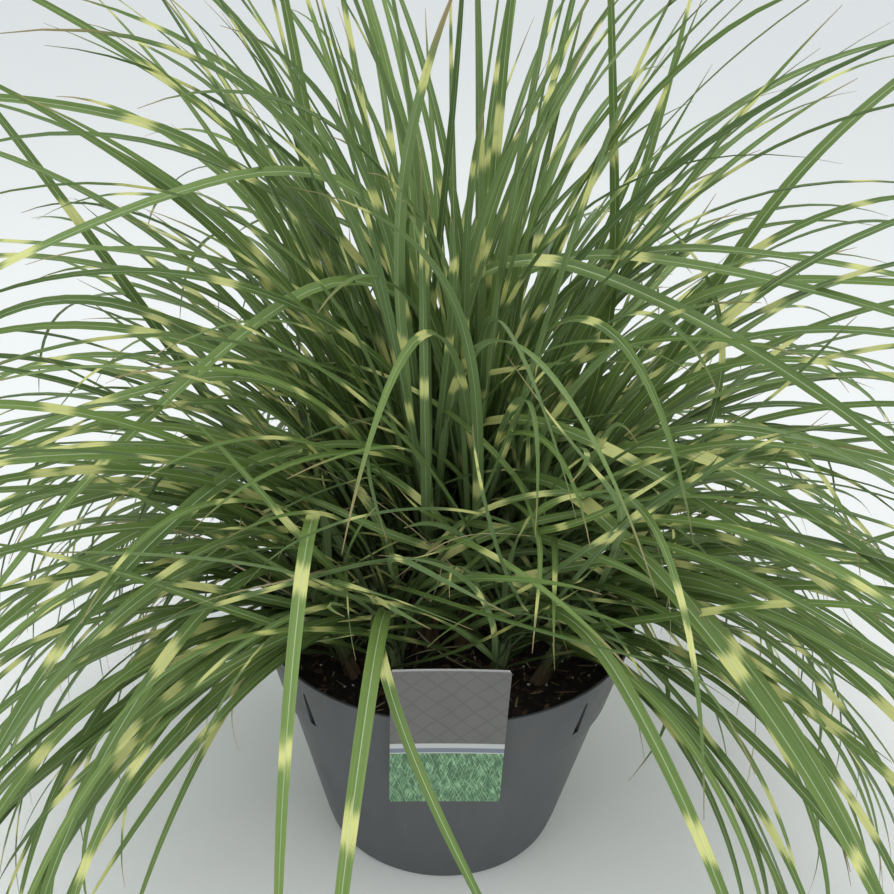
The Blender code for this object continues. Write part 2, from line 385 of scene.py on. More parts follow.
def drain_cutter():
    """A ring of short drills that cut through the pot's floor."""
    shape = bmesh.new()
    for hole in range(DRAIN_HOLES):
        angle = math.tau * hole / DRAIN_HOLES + math.radians(10.3)
        drill = bmesh.ops.create_cone(
            shape,
            cap_ends=True,
            segments=32,
            radius1=DRAIN_RADIUS,
            radius2=DRAIN_RADIUS,
            depth=0.012,
        )
        centre = Vector((math.cos(angle), math.sin(angle), 0.0)) * DRAIN_CIRCLE
        bmesh.ops.translate(shape, verts=drill["verts"], vec=centre)
    return settle_mesh(empty_piece("drain_cutter"), shape)


def pot_plastic():
    """Charcoal plastic: fine moulded grain, faint scuffs down the wall and peat dust."""
    material, wire = finish("pot_plastic")
    place = wire.node("TexCoord", None, None, "Object")
    grain = place.noise(900.0, 2.0)
    cloud = place.noise(14.0, 4.0, 0.6)
    streak = place.noise(60.0, 4.0, 0.6, (1.0, 1.0, 0.10))
    scuff = place.noise(120.0, 5.0, 0.7, (1.0, 1.0, 0.22)).ramp(0.60, 0.74)
    height = place.node("SeparateXYZ", None, {0: place}, 2)
    settled = place.noise(42.0, 5.0, 0.7).ramp(0.5, 0.7)
    dust = height.ramp(POT_HEIGHT - 0.055, POT_HEIGHT, 0.0, 0.5) * settled
    colour = cloud.mix((0.060, 0.064, 0.068, 1.0), (0.086, 0.091, 0.096, 1.0))
    colour = streak.shade(colour, 0.35)
    colour = (scuff * 0.35).mix(colour, (0.17, 0.175, 0.18, 1.0))
    colour = dust.mix(colour, (0.13, 0.11, 0.085, 1.0))
    roughness = cloud.ramp(0.3, 0.7, 0.40, 0.52) + scuff * 0.14 + dust * 0.3
    set_surface(material, colour, roughness, grain * 0.5 + streak * 0.5, 0.00012)
    return material


def build_pot():
    under_band = BAND_FOOT_RADIUS - LEDGE
    foot = 0.0025
    corners = [
        (0.0, 0.0, 0.0),
        (pot_wall(0.0) - foot * 0.3, 0.0, 0.0022),
        (pot_wall(0.012), 0.012, 0.0),
        (under_band, BAND_FOOT - 0.0014, 0.0005),
        (BAND_FOOT_RADIUS, BAND_FOOT - 0.0002, 0.0008),
        (RIM_RADIUS, POT_HEIGHT, 0.0007),
        (RIM_RADIUS - POT_WALL, POT_HEIGHT, 0.0007),
        (BAND_FOOT_RADIUS - POT_WALL, BAND_FOOT + POT_WALL, 0.001),
        (under_band - POT_WALL, BAND_FOOT - 0.0014 - POT_WALL * 0.5, 0.001),
        (pot_wall(POT_FLOOR) - POT_WALL, POT_FLOOR, 0.0025),
        (0.0, POT_FLOOR, 0.0),
    ]
    pot = settle_mesh(empty_piece("pot", pot_plastic()), lathe(rounded(corners), 192))
    return cut_away(pot, [slot_cutter(), drain_cutter()])


pot = build_pot()
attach(pot, "root")
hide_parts("nursery_pot")


# ---------------------------------------------------------------------------------------
# Compost. Dark peat that fills the pot to 22 mm below the rim, with bark chips, broken
# straw and a few grains of perlite lying loose on top.

compost_low, compost_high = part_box("compost")
COMPOST_TOP = compost_high.z
COMPOST_RADIUS = compost_high.x
LUMPS = 1500


def peat_surface(x, y):
    """Height of the lumpy peat at a place: it sinks a little towards the pot wall."""
    lumps = noise.noise(Vector((x * 30, y * 30, 0.3))) * 0.0022
    crumbs = noise.noise(Vector((x * 140, y * 140, 4.7))) * 0.0011
    edge = max(0.0, math.hypot(x, y) / COMPOST_RADIUS - 0.86) * 0.016
    return COMPOST_TOP - 0.0012 + lumps + crumbs - edge


def peat_finish():
    material, wire = finish("peat")
    place = wire.node("TexCoord", None, None, "Object")
    clod = place.noise(170.0, 6.0, 0.7)
    fibre = place.noise(520.0, 4.0, 0.7, (1.0, 0.35, 1.0))
    colour = clod.ramp(0.35, 0.70).mix((0.0075, 0.0055, 0.0042, 1.0), (0.034, 0.022, 0.014, 1.0))
    colour = (fibre.ramp(0.60, 0.72) * 0.6).mix(colour, (0.085, 0.052, 0.030, 1.0))
    set_surface(material, colour, 0.92, clod + fibre * 0.5, 0.0016)
    return material


def chip_finish():
    """Bark, straw and perlite, told apart by each chip's own shade value."""
    material, wire = finish("bark_and_straw")
    shade = wire.attribute("shade")
    place = wire.node("TexCoord", None, None, "Object")
    grain = place.noise(700.0, 4.0, 0.6)
    stops = [
        (0.0, (0.013, 0.008, 0.006, 1.0)),
        (0.45, (0.055, 0.030, 0.018, 1.0)),
        (0.70, (0.150, 0.085, 0.046, 1.0)),
        (0.88, (0.340, 0.230, 0.130, 1.0)),
        (0.97, (0.480, 0.400, 0.290, 1.0)),
        (1.0, (0.780, 0.760, 0.700, 1.0)),
    ]
    colour = shade.node("ValToRGB", {"stops": stops}, {0: shade})
    set_surface(material, grain.shade(colour, 1.1), 0.85, grain, 0.0006)
    return material


def build_compost():
    """The root ball: a lumpy top, then rings that follow the pot's inner wall to its floor."""
    shape = bmesh.new()
    rings = []
    steps = 54
    around = 168
    for ring in range(1, steps + 1):
        radius = COMPOST_RADIUS * ring / steps
        rings.append([])
        for spoke in range(around):
            turn = math.tau * spoke / around
            x, y = radius * math.cos(turn), radius * math.sin(turn)
            rings[-1].append(shape.verts.new((x, y, peat_surface(x, y))))
    for height in (COMPOST_TOP - 0.007, BAND_FOOT + 0.004, BAND_FOOT - 0.006, 0.050, 0.005, 0.0028):
        rings.append([])
        radius = min(pot_wall(height), pot_wall(BAND_FOOT - 0.006) + 0.012) - POT_WALL - 0.0008
        if height < BAND_FOOT + 0.005:
            radius = min(radius, pot_wall(BAND_FOOT - 0.001) - POT_WALL - 0.0008)
        if height < 0.004:
            radius -= 0.004
        for spoke in range(around):
            turn = math.tau * spoke / around
            place = (radius * math.cos(turn), radius * math.sin(turn), height)
            rings[-1].append(shape.verts.new(place))
    middle = shape.verts.new((0.0, 0.0, peat_surface(0.0, 0.0)))
    for inner, outer in zip(rings, rings[1:]):
        for spoke in range(around):
            after = (spoke + 1) % around
            shape.faces.new((inner[spoke], outer[spoke], outer[after], inner[after]))
    for spoke in range(around):
        shape.faces.new((middle, rings[0][spoke], rings[0][(spoke + 1) % around]))
    shape.faces.new(list(reversed(rings[-1])))
    item = settle_mesh(empty_piece("peat_fill", peat_finish()), shape)
    item.data.shade_smooth()
    return item


def add_lump(shape, place, size, turn, rng, shades, shade):
    """One chip, straw or grain: an icosphere stretched to size and knocked out of true."""
    made = bmesh.ops.create_icosphere(shape, subdivisions=1, radius=1.0)["verts"]
    for vert in made:
        knock = 1.0 + rng.uniform(-0.28, 0.22)
        stretched = Vector((vert.co.x * size[0], vert.co.y * size[1], vert.co.z * size[2]))
        vert.co = turn @ stretched * knock
        vert.co += place
        vert[shades] = shade


def build_litter():
    """Mostly bark chips, some straw and a few grains of perlite, scattered over the peat."""
    rng = random.Random(41)
    shape = bmesh.new()
    shades = shape.verts.layers.float.new("shade")
    for lump in range(LUMPS):
        radius = (COMPOST_RADIUS - 0.006) * math.sqrt(rng.random())
        spin = rng.uniform(0, math.tau)
        x, y = radius * math.cos(spin), radius * math.sin(spin)
        kind = rng.random()
        if kind < 0.72:
            long = rng.uniform(0.0010, 0.0042)
            size = (long, long * rng.uniform(0.35, 0.8), long * rng.uniform(0.15, 0.4))
            shade = rng.uniform(0.0, 0.78) ** 1.3
        elif kind < 0.93:
            size = (rng.uniform(0.004, 0.011), rng.uniform(0.0004, 0.0009), 0.0004)
            shade = rng.uniform(0.62, 0.95)
        else:
            grain = rng.uniform(0.0007, 0.0014)
            size = (grain, grain * 0.9, grain * 0.8)
            shade = 1.0
        turn = (
            Matrix.Rotation(rng.uniform(0, math.tau), 3, "Z")
            @ Matrix.Rotation(rng.uniform(-0.35, 0.35), 3, "Y")
        )
        place = Vector((x, y, peat_surface(x, y) + size[2] * 0.5))
        add_lump(shape, place, size, turn, rng, shades, shade)
    return settle_mesh(empty_piece("bark_chips_and_straw", chip_finish()), shape)


peat = build_compost()
litter = build_litter()
for piece in (peat, litter):
    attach(piece, "root")
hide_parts("compost")


# ---------------------------------------------------------------------------------------
# Plant label. One card of printed plastic, 64 x 110 mm, with a punched hole under its top
# edge and a folded hook behind it that goes over the rim. It leans with the pot wall. The
# print is left plain: a quilted slate field, a pale strip and a strip of grass green.

CARD_WIDTH = 0.064
CARD_LENGTH = 0.110
CARD_THICKNESS = 0.0007
CARD_ABOVE_RIM = 0.044
PUNCH_RADIUS = 0.0028
HOOK_WIDTH = 0.016
HOOK_REACH = 0.017           # how far the hook goes down inside the pot
CARD_TILT = math.radians(9.7)
CARD_TURN = math.radians(2.6)
CARD_SHIFT = 0.0018
GREEN_TOP = 0.385            # shares of the card's length, from its foot
STRIP_TOP = 0.460
RULE_LOW = 0.392
RULE_HIGH = 0.425
QUILT_ROWS = 4.6


def card_print():
    """The print, placed by the card's own map: 0..1 across and 0..1 up the card."""
    material, wire = finish("label_card")
    card = wire.node("UVMap", {"uv_map": "card"})
    across = card.node("SeparateXYZ", None, {0: card}, 0)
    up = card.node("SeparateXYZ", None, {0: card}, 1)
    long_up = up * (CARD_LENGTH / CARD_WIDTH)
    cloud = card.noise(5.0, 3.0)
    wobble = cloud * 0.35
    rising = (across + long_up) * QUILT_ROWS + wobble
    falling = (across - long_up) * QUILT_ROWS + wobble + 20.0
    quilt_one = abs(rising.sum_of("FRACT", rising) - 0.5)
    quilt_two = abs(falling.sum_of("FRACT", falling) - 0.5)
    crease = quilt_one.ramp(0.40, 0.50) | quilt_two.ramp(0.40, 0.50)
    slate = cloud.mix((0.112, 0.110, 0.106, 1.0), (0.145, 0.142, 0.136, 1.0))
    slate = (crease * 0.45).mix(slate, (0.072, 0.070, 0.068, 1.0))
    tuft = card.noise(11.0, 5.0, 0.65, (1.6, 1.0, 1.0))
    flat = {"rotation_type": "Z_AXIS"}
    blade_one = card.node("VectorRotate", flat, {"Vector": card, "Angle": 0.45})
    blade_two = card.node("VectorRotate", flat, {"Vector": card, "Angle": -0.6})
    drawn_out = (3.4, 0.42, 1.0)
    strands = blade_one.noise(26.0, 3.0, 0.6, drawn_out) | blade_two.noise(24.0, 3.0, 0.6, drawn_out)
    stops = [
        (0.0, (0.026, 0.070, 0.034, 1.0)),
        (0.45, (0.058, 0.140, 0.068, 1.0)),
        (0.62, (0.130, 0.270, 0.135, 1.0)),
        (1.0, (0.340, 0.560, 0.320, 1.0)),
    ]
    lit = (strands - 0.5) * 2.6 + tuft
    grass = lit.node("ValToRGB", {"stops": stops}, {0: lit - 0.02})
    rule = up.ramp(RULE_LOW, RULE_LOW + 0.004) * (1 - up.ramp(RULE_HIGH, RULE_HIGH + 0.004))
    strip = rule.mix((0.50, 0.51, 0.50, 1.0), (0.17, 0.20, 0.25, 1.0))
    colour = up.ramp(GREEN_TOP, GREEN_TOP + 0.003).mix(grass, strip)
    colour = up.ramp(STRIP_TOP, STRIP_TOP + 0.003).mix(colour, slate)
    edge = up.ramp(0.988, 0.995)
    colour = (edge * 0.7).mix(colour, (0.42, 0.40, 0.41, 1.0))
    scuff = card.noise(60.0, 4.0, 0.7).ramp(0.62, 0.74)
    colour = (scuff * 0.16).mix(colour, (0.5, 0.5, 0.5, 1.0))
    set_surface(material, colour, 0.36 + scuff * 0.2, cloud + scuff * 0.1, 0.0004)
    return material


def plain_card():
    """The unprinted back and the hook of the same card."""
    material, wire = finish("label_back")
    place = wire.node("TexCoord", None, None, "Object")
    cloud = place.noise(60.0, 4.0)
    colour = cloud.mix((0.55, 0.55, 0.54, 1.0), (0.66, 0.66, 0.64, 1.0))
    set_surface(material, colour, 0.45, cloud, 0.0003)
    return material


def card_bow(x, up):
    """How far the card bows away from the pot: its foot and top corners curl a little."""
    side = x / (CARD_WIDTH / 2)
    return -0.0006 * side ** 2 * (0.4 + up) - 0.0008 * max(0.0, up - 0.8) / 0.2


def build_card():
    """The flat card with rounded corners, its punched hole and the map for its print."""
    columns, rows = 24, 40
    rim_level = CARD_LENGTH - CARD_ABOVE_RIM / math.cos(CARD_TILT)
    shape = bmesh.new()
    corner = 0.0012
    faces = []
    for depth in (0.0, CARD_THICKNESS):
        grid = []
        for row in range(rows + 1):
            up = row / rows
            height = up * CARD_LENGTH
            near_end = min(height, CARD_LENGTH - height)
            pull = corner - math.sqrt(max(0.0, corner ** 2 - max(0.0, corner - near_end) ** 2))
            half = CARD_WIDTH / 2 - pull
            grid.append([])
            for column in range(columns + 1):
                x = half * (2 * column / columns - 1)
                place = (x, depth + card_bow(x, up), height - rim_level)
                grid[-1].append(shape.verts.new(place))
        faces.append(grid)
    front, back = faces
    for row in range(rows):
        for column in range(columns):
            for grid in faces:
                shape.faces.new((
                    grid[row][column], grid[row][column + 1],
                    grid[row + 1][column + 1], grid[row + 1][column],
                ))
    for row in range(rows):
        for column in (0, columns):
            shape.faces.new((
                front[row][column], front[row + 1][column],
                back[row + 1][column], back[row][column],
            ))
    for column in range(columns):
        for row in (0, rows):
            shape.faces.new((
                front[row][column], front[row][column + 1],
                back[row][column + 1], back[row][column],
            ))
    face_outward(shape)
    card = settle_mesh(empty_piece("printed_card", card_print(), plain_card()), shape)
    punch = bmesh.new()
    bmesh.ops.create_cone(
        punch, cap_ends=True, segments=32, radius1=PUNCH_RADIUS, radius2=PUNCH_RADIUS, depth=0.02
    )
    for vert in punch.verts:
        vert.co = Vector((vert.co.x, vert.co.z, vert.co.y + CARD_LENGTH - rim_level - 0.006))
    cut_away(card, [settle_mesh(empty_piece("hole_punch"), punch)], 40.0)
    mesh = card.data
    flat = mesh.uv_layers.new(name="card")
    for face in mesh.polygons:
        face.material_index = 0 if face.normal.y < -0.5 else 1
        for loop in face.loop_indices:
            spot = mesh.vertices[mesh.loops[loop].vertex_index].co
            flat.data[loop].uv = (spot.x / CARD_WIDTH + 0.5, (spot.z + rim_level) / CARD_LENGTH)
    return card


def build_hook():
    """The folded tongue of the card: out of its back, over the rim and down inside."""
    rise = 0.0010 + CARD_THICKNESS
    depth = POT_WALL + 0.0036 + CARD_THICKNESS
    outline = [
        (0.0006, rise - CARD_THICKNESS * 0.9),
        (0.0012, rise),
        (CARD_THICKNESS + depth * 0.5, rise + 0.0002),
        (CARD_THICKNESS + depth, rise - 0.0003),
        (CARD_THICKNESS + depth, -HOOK_REACH),
        (depth, -HOOK_REACH),
        (depth, rise - CARD_THICKNESS - 0.0002),
        (CARD_THICKNESS + depth * 0.5, rise - CARD_THICKNESS),
    ]
    shape = bmesh.new()
    half = HOOK_WIDTH / 2
    ends = [[shape.verts.new((x, y, z)) for y, z in outline] for x in (-half, half)]
    count = len(outline)
    for side in range(count):
        after = (side + 1) % count
        shape.faces.new((ends[0][side], ends[0][after], ends[1][after], ends[1][side]))
    for end in ends:
        shape.faces.new(end)
    face_outward(shape)
    bmesh.ops.bevel(shape, geom=shape.edges[:], offset=0.00012, segments=1, affect="EDGES")
    return settle_mesh(empty_piece("card_hook", plain_card()), shape)


card = build_card()
hook = build_hook()
for piece in (card, hook):
    piece.location = (CARD_SHIFT, -RIM_RADIUS - 0.0003 - CARD_THICKNESS * 1.1, POT_HEIGHT)
    piece.rotation_euler = (CARD_TILT, 0.0, CARD_TURN)
    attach(piece, "root")
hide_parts("plant_label")


# ---------------------------------------------------------------------------------------
# Stems. Each shoot stands in the compost as a few tillers held close together, every one
# a thin cane wrapped in overlapping leaf sheaths: straw-brown at the foot, pale ribbed
# green above, with a step in the outline where each sheath ends.

TILLERS = 4
STEM_SIDES = 12
SHEATHS = 3
SHOOTS = sorted(name[len("culm_"):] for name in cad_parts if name.startswith("culm_"))


def shoot_ends(shoot):
    """Middle of a shoot's foot and of its top."""
    spots = [vert.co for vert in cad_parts["culm_" + shoot].data.vertices]
    lowest = min(spot.z for spot in spots)
    highest = max(spot.z for spot in spots)
    ends = []
    for level in (lowest, highest):
        near = [spot for spot in spots if abs(spot.z - level) < 0.0015]
        ends.append(sum(near, Vector()) / len(near))
    return ends


def sheath_finish():
    """Straw-brown at the foot, ribbed pale green above."""
    material, wire = finish("leaf_sheath")
    up = wire.attribute("up")
    around = wire.attribute("around")
    seed = wire.attribute("seed")
    place = wire.node("CombineXYZ", None, {0: around * 9.0, 1: up * 14.0, 2: seed * 40.0})
    ribs = place.noise(3.0, 3.0, 0.6, (4.0, 0.25, 1.0))
    patch = place.noise(0.9, 4.0, 0.6)
    green = patch.mix((0.075, 0.120, 0.045, 1.0), (0.190, 0.240, 0.110, 1.0))
    straw = patch.mix((0.105, 0.068, 0.035, 1.0), (0.300, 0.215, 0.120, 1.0))
    age = (up + (patch - 0.5) * 0.7).ramp(0.18, 0.62)
    colour = ribs.shade(age.mix(straw, green), 0.7)
    set_surface(material, colour, 0.55, ribs, 0.0003)
    return material


def build_stems(shoot, rng, material):
    """A shoot's tillers as one mesh of ringed tubes that step in where each sheath ends."""
    foot, top = shoot_ends(shoot)
    lean = (top - foot).normalized()
    verts, faces, up_values, around_values, seed_values = [], [], [], [], []
    rings = SHEATHS * 5 + 1
    for tiller in range(TILLERS):
        spin = math.tau * tiller / TILLERS + rng.uniform(-0.4, 0.4)
        apart = Vector((math.cos(spin), math.sin(spin), 0.0))
        reach = (top - foot).length * rng.uniform(0.72, 0.98)
        seed = rng.random()
        start = len(verts)
        for ring in range(rings):
            share = ring / (rings - 1)
            within = (share * SHEATHS) % 1.0
            thick = 0.0027 * (1.0 - 0.42 * share) * (1.12 - 0.20 * within)
            middle = foot + lean * reach * share + apart * (0.0031 - 0.0014 * share)
            middle.z -= 0.002 * (1 - share)
            for side in range(STEM_SIDES):
                turn = math.tau * side / STEM_SIDES
                flat = Vector((math.cos(turn), math.sin(turn) * 0.82, 0.0))
                verts.append(middle + flat * thick)
                up_values.append(share)
                around_values.append(abs(2.0 * side / STEM_SIDES - 1.0))
                seed_values.append(seed)
        for ring in range(rings - 1):
            for side in range(STEM_SIDES):
                after = (side + 1) % STEM_SIDES
                low, high = start + ring * STEM_SIDES, start + (ring + 1) * STEM_SIDES
                faces.append((low + side, low + after, high + after, high + side))
        faces.append([start + side for side in reversed(range(STEM_SIDES))])
        faces.append([start + (rings - 1) * STEM_SIDES + side for side in range(STEM_SIDES)])
    mesh = bpy.data.meshes.new("stems_" + shoot)
    mesh.from_pydata(verts, [], faces)
    for name, values in (("up", up_values), ("around", around_values), ("seed", seed_values)):
        mesh.attributes.new(name, "FLOAT", "POINT").data.foreach_set("value", values)
    mesh.shade_smooth()
    mesh.set_sharp_from_angle(angle=math.radians(50.0))
    stems = stand("stems_" + shoot, mesh, material)
    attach(stems, "root")
    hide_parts("culm_" + shoot)


sheath = sheath_finish()
stem_rng = random.Random(7)
for shoot in SHOOTS:
    build_stems(shoot, stem_rng, sheath)


# ---------------------------------------------------------------------------------------
# Blades. Each is a thin strap of leaf, folded at its foot and opening to a shallow
# channel, with a white midrib, fine parallel veins, a long drawn-out tip, and here and
# there a short cream-yellow band across it. Blades arch out and over under their weight.

BLADE_THICKNESS = 0.00034
# Where a section's points lie across the blade (-1..1) and on which face: 1 upper, -1 under
NARROW_SECTION = [
    (1.0, 0), (0.5, 1), (0.0, 1), (-0.5, 1), (-1.0, 0), (-0.5, -1), (0.0, -1), (0.5, -1),
]
BROAD_SECTION = [
    (1.0, 0), (0.62, 1), (0.20, 1), (0.0, 1), (-0.20, 1), (-0.62, 1),
    (-1.0, 0), (-0.62, -1), (-0.14, -1), (0.0, -1), (0.14, -1), (0.62, -1),
]


def blade_finish():
    """Green strap: upper face, paler under face, midrib, veins, bands, dry tips, and painted shade at
    the foot.
    """
    material, wire = finish("leaf_blade")
    across = wire.attribute("across")
    along = wire.attribute("along")
    reach = wire.attribute("reach")
    seed = wire.attribute("seed")
    under = wire.attribute("under")
    dry = wire.attribute("dry")
    bands = wire.attribute("bands", "Vector")
    lengthwise = wire.node("CombineXYZ", None, {0: across * 3.0, 1: along * 9.0, 2: seed * 91.0})
    veins = lengthwise.noise(5.5, 3.0, 0.65, (1.0, 0.06, 1.0))
    fine_veins = lengthwise.noise(16.0, 2.0, 0.6, (1.0, 0.03, 1.0))
    patch = lengthwise.noise(1.1, 4.0, 0.6, (0.4, 1.0, 1.0))
    fleck = lengthwise.noise(26.0, 3.0, 0.6, (0.5, 1.0, 1.0))
    own = seed.node("TexWhiteNoise", {"noise_dimensions": "1D"}, {"W": seed})

    upper = own.mix((0.058, 0.118, 0.022, 1.0), (0.168, 0.268, 0.060, 1.0))
    upper = (patch.ramp(0.35, 0.75) * 0.5).mix(upper, (0.200, 0.290, 0.060, 1.0))
    lower = own.mix((0.076, 0.138, 0.038, 1.0), (0.172, 0.258, 0.086, 1.0))
    green = under.mix(upper, lower)
    green = veins.shade(fine_veins.shade(green, 0.60), 0.80)

    band = 0.0 * across
    side = across.ramp(-0.06, 0.06)
    for number in range(3):
        centre = bands.node("SeparateXYZ", None, {0: bands}, number)
        own_place = {0: across * 3.6, 1: seed * 57.0, 2: number * 7.3}
        spot = wire.node("CombineXYZ", None, own_place)
        ragged = spot.noise(1.0, 3.0, 0.75) - 0.5
        frayed = spot.noise(8.0, 2.0, 0.6) - 0.5
        pick = seed * 31.0 + number * 3.1
        drift = wire.node("TexWhiteNoise", {"noise_dimensions": "1D"}, {"W": pick})
        half = drift * 0.006 + 0.0050
        gone = along - centre - (side - 0.5) * (drift - 0.4) * 0.007
        width = half + ragged * 0.009 + frayed * 0.011
        band = band | (width - abs(gone)).ramp(-0.0020, 0.0040)
    pale = lengthwise.noise(7.0, 3.0, 0.7, (1.0, 0.10, 1.0))
    yellow = pale.mix((0.500, 0.560, 0.130, 1.0), (0.830, 0.800, 0.360, 1.0))
    colour = (band * 0.95).mix(green, yellow)

    rib = 1 - abs(across).ramp(0.030, 0.090)
    rib_strength = rib * (1 - reach.ramp(0.70, 0.98)) * (0.72 - 0.25 * under)
    colour = rib_strength.mix(colour, (0.500, 0.580, 0.360, 1.0))
    margin = abs(across).ramp(0.86, 1.0)
    colour = (margin * 0.30).mix(colour, (0.260, 0.340, 0.130, 1.0))
    rust = fleck.ramp(0.70, 0.76) * patch.ramp(0.50, 0.62) * 0.6
    colour = rust.mix(colour, (0.330, 0.150, 0.045, 1.0))

    tip = (reach + (patch - 0.5) * 0.10 + (own - 0.6) * 0.10).ramp(0.90, 0.985)
    tan = fine_veins.mix((0.250, 0.160, 0.080, 1.0), (0.520, 0.400, 0.200, 1.0))
    colour = (tip * 0.85).mix(colour, tan)
    straw = patch.mix((0.330, 0.270, 0.130, 1.0), (0.680, 0.600, 0.360, 1.0))
    colour = dry.mix(colour, straw)
    # Painted shade: each blade darkens to a deep green towards its foot, standing in for the shadow
    # inside the clump.
    painted_foot_shade = (1 - along.ramp(0.0, 0.14)) * 0.70
    colour = painted_foot_shade.mix(colour, (0.040, 0.058, 0.020, 1.0))
    roughness = 0.47 + 0.16 * under + (fine_veins - 0.5) * 0.2 + dry * 0.2
    relief = veins * 0.6 + fine_veins * 0.4 + rib * 0.5
    set_surface(material, colour, roughness, relief, 0.00012, Specular_IOR_Level=0.42)
    return material


def blade_line(foot, azimuth, lean, tip_lean, lateness, length, sweep=0.0, sway=0.0, steps=30):
    """Points, lean and azimuth along a blade whose lean grows from its foot to its tip."""
    def lean_and_turn(share):
        wave = sway * np.sin(share * 7.0 + azimuth)
        tilt = np.radians(lean + (tip_lean - lean) * share ** lateness + wave)
        turn = np.radians(azimuth + sweep * share + wave * 0.6)
        return tilt, turn

    tilt, turn = lean_and_turn((np.arange(steps) + 0.5) / steps)
    stride = np.stack([np.sin(tilt) * np.cos(turn), np.sin(tilt) * np.sin(turn), np.cos(tilt)], 1)
    points = np.vstack([foot, np.asarray(foot) + np.cumsum(stride * length / steps, axis=0)])
    return (points, *lean_and_turn(np.arange(steps + 1) / steps))


# Blades turn their faces to the front and the light
OPEN_SIDE = np.array([0.0, -0.80, 0.60])


def blade_skin(line, length, width, section, fold=0.2, twist=0.0, facing=0.0, foot_width=0.45):
    """The blade's rings of points, and each point's place across the blade.

    facing is how far, of 0..1, the upper face turns from its natural way to the open side.
    """
    points, tilt, turn = line
    share = np.linspace(0.0, 1.0, len(points))[:, None]
    forward = np.stack([np.sin(tilt) * np.cos(turn), np.sin(tilt) * np.sin(turn), np.cos(tilt)], 1)
    sideways = np.stack([-np.sin(turn), np.cos(turn), np.zeros_like(turn)], 1)
    upper = np.cross(forward, sideways)
    to_open = np.arctan2(-(sideways @ OPEN_SIDE), upper @ OPEN_SIDE)[:, None]
    to_open = np.clip(np.unwrap(to_open, axis=0), -1.2, 1.2)
    roll = np.radians(twist) * share ** 1.2 + to_open * facing * np.minimum(1.0, share / 0.3)
    sideways, upper = (
        sideways * np.cos(roll) + upper * np.sin(roll),
        upper * np.cos(roll) - sideways * np.sin(roll),
    )
    opening = np.minimum(1.0, share / 0.28)
    opening = opening * opening * (3 - 2 * opening)
    half = width / 2 * (foot_width + (1 - foot_width) * opening) * (1 - share ** 3.0) ** 0.90
    half = np.maximum(half, 0.00016)
    channel = fold + 0.45 * (1 - opening) + 0.10 * share
    thick = BLADE_THICKNESS * np.minimum(1.0, half / 0.0012)
    across = np.array([place for place, face in section])
    face = np.array([face for place, face in section])
    middle = (across == 0.0)
    body = thick * 0.5 * (1 - 0.70 * np.abs(across)) * face
    keel = thick * 0.8 * middle * (face < 0)
    rise = channel * half * np.abs(across) + body - keel
    rings = (
        points[:, None, :]
        + sideways[:, None, :] * (half * across)[:, :, None]
        + upper[:, None, :] * rise[:, :, None]
    )
    return rings, across, share[:, 0]


